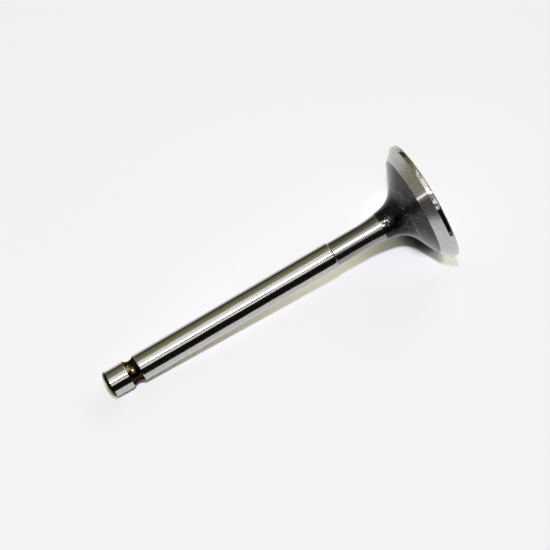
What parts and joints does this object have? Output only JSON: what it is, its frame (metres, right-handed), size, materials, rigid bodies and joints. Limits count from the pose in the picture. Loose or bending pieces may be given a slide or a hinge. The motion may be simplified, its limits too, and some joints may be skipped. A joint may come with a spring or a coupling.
{
  "type": "engine poppet valve",
  "caption": "One-piece poppet valve: flat round head with a 45 degree seat face, tulip neck, ground stem, keeper groove and rounded tip edge.",
  "frame": {"origin": "centre of the flat combustion face, which is the lowest face", "axes": "+Z along the stem, from the combustion face to the tip; the part is round about Z, so X and Y are free"},
  "size_m": [0.0316, 0.0316, 0.0915],
  "materials": {
    "valve_steel": "ground and polished stem, ground seat face, dark matt forged neck"
  },
  "bodies": {
    "root": {"valve": "valve_steel"}
  },
  "joints": []
}
